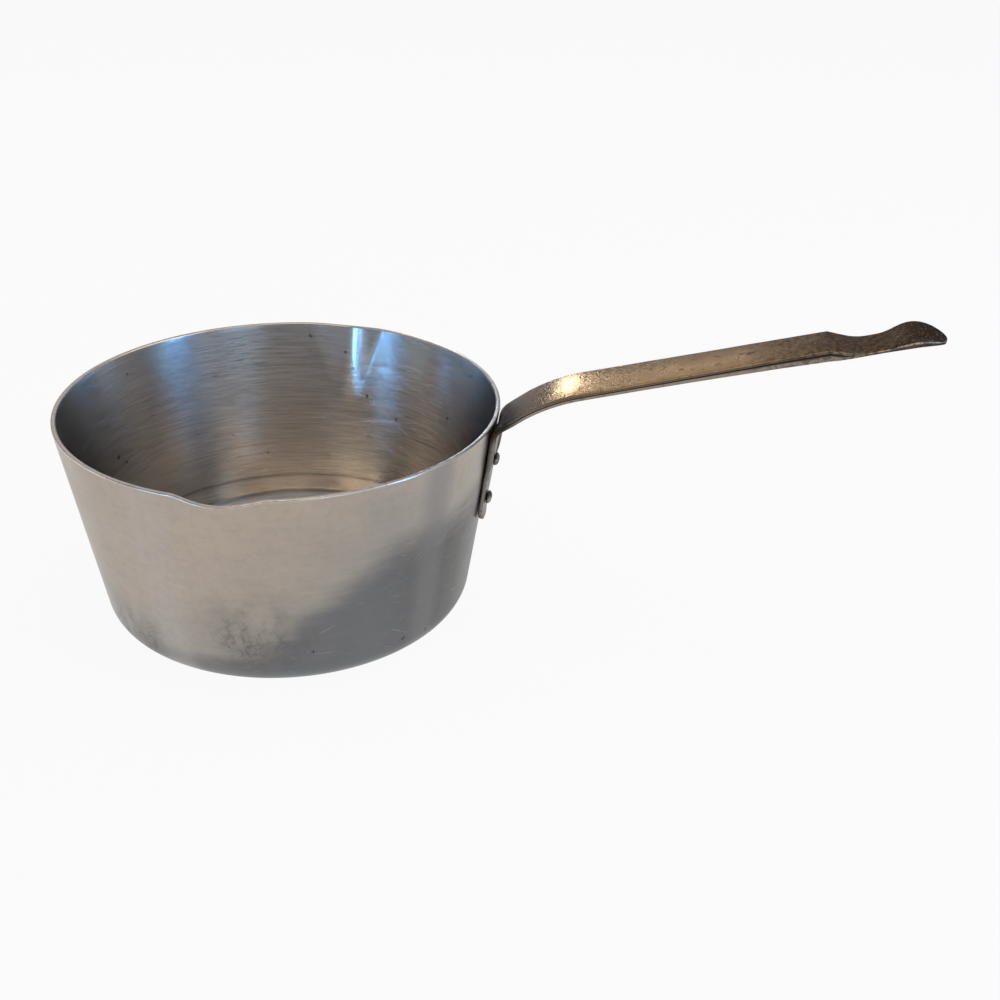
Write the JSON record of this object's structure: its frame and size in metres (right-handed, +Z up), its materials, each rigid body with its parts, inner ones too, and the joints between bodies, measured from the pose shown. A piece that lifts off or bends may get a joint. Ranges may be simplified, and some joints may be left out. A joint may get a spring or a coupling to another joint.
{
  "type": "pour pot",
  "caption": "Tapered aluminium pour pot with a pouring lip pressed into each side of its rim and a long bent sheet-steel handle riveted to the wall.",
  "frame": {"origin": "centre of the pan's floor, on the plane that the pan stands on", "axes": "+Z up along the pan's own axis, +X along the handle, +Y and -Y towards the pouring lips"},
  "size_m": [0.3906, 0.2086, 0.1563],
  "materials": {
    "pan_aluminium": "satin, spun and lightly scratched",
    "handle_steel": "plated, worn to a brown patina",
    "rivet_aluminium": "dull"
  },
  "bodies": {
    "root": {"pan": "pan_aluminium", "handle": "handle_steel", "rivet_lower": "rivet_aluminium", "rivet_upper": "rivet_aluminium"}
  },
  "joints": []
}
